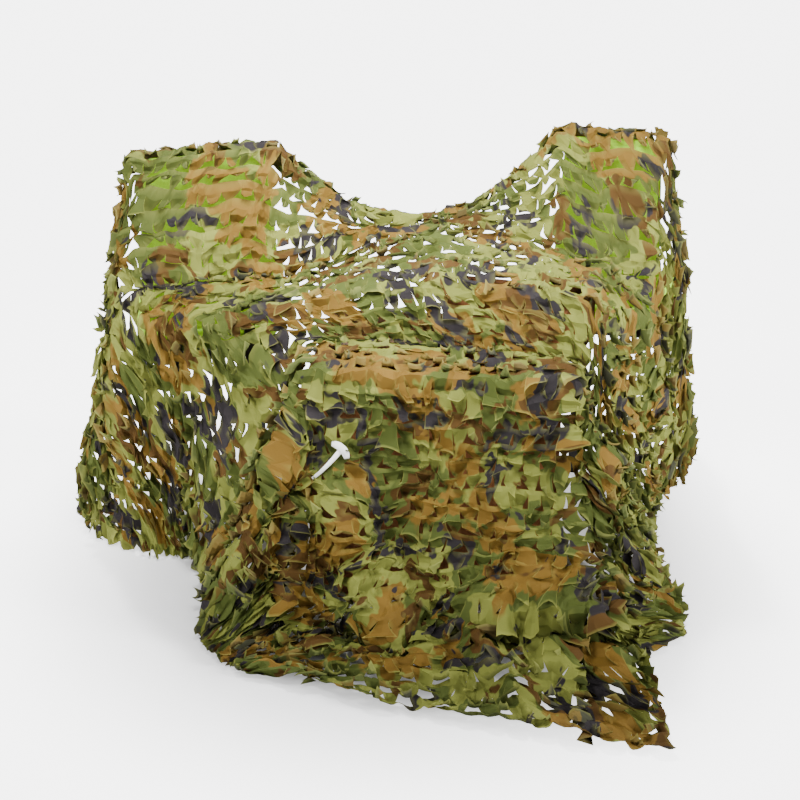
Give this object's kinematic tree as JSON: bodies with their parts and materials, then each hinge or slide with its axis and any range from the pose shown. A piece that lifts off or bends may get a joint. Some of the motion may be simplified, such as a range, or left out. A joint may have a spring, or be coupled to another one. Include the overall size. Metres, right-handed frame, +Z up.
{
  "type": "camouflage net draped over chairs and cartons",
  "caption": "Leaf-cut woodland camouflage net draped over plain office-style chairs and stacked cartons, with flared side falls and a floor train.",
  "frame": {"origin": "on the floor, on the underside of the large carton just behind its front edge", "axes": "+Z up, +X to the right seen from the front, +Y from the net's floor train towards the chairs"},
  "size_m": [1.5758, 1.578, 0.8842],
  "materials": {
    "net_cloth": "matt woven polyester printed in woodland blotches",
    "tie_tape": "white tape",
    "chair_mesh": "lime mesh cloth",
    "chair_frame": "satin black paint",
    "carton_card": "plain kraft board"
  },
  "bodies": {
    "root": {"net": "net_cloth", "tie": "tie_tape", "chair_left_back": "chair_mesh", "chair_left_seat": "chair_mesh", "chair_left_frame": "chair_frame", "chair_right_back": "chair_mesh", "chair_right_seat": "chair_mesh", "chair_right_frame": "chair_frame", "carton_large": "carton_card", "carton_small": "carton_card"}
  },
  "joints": []
}
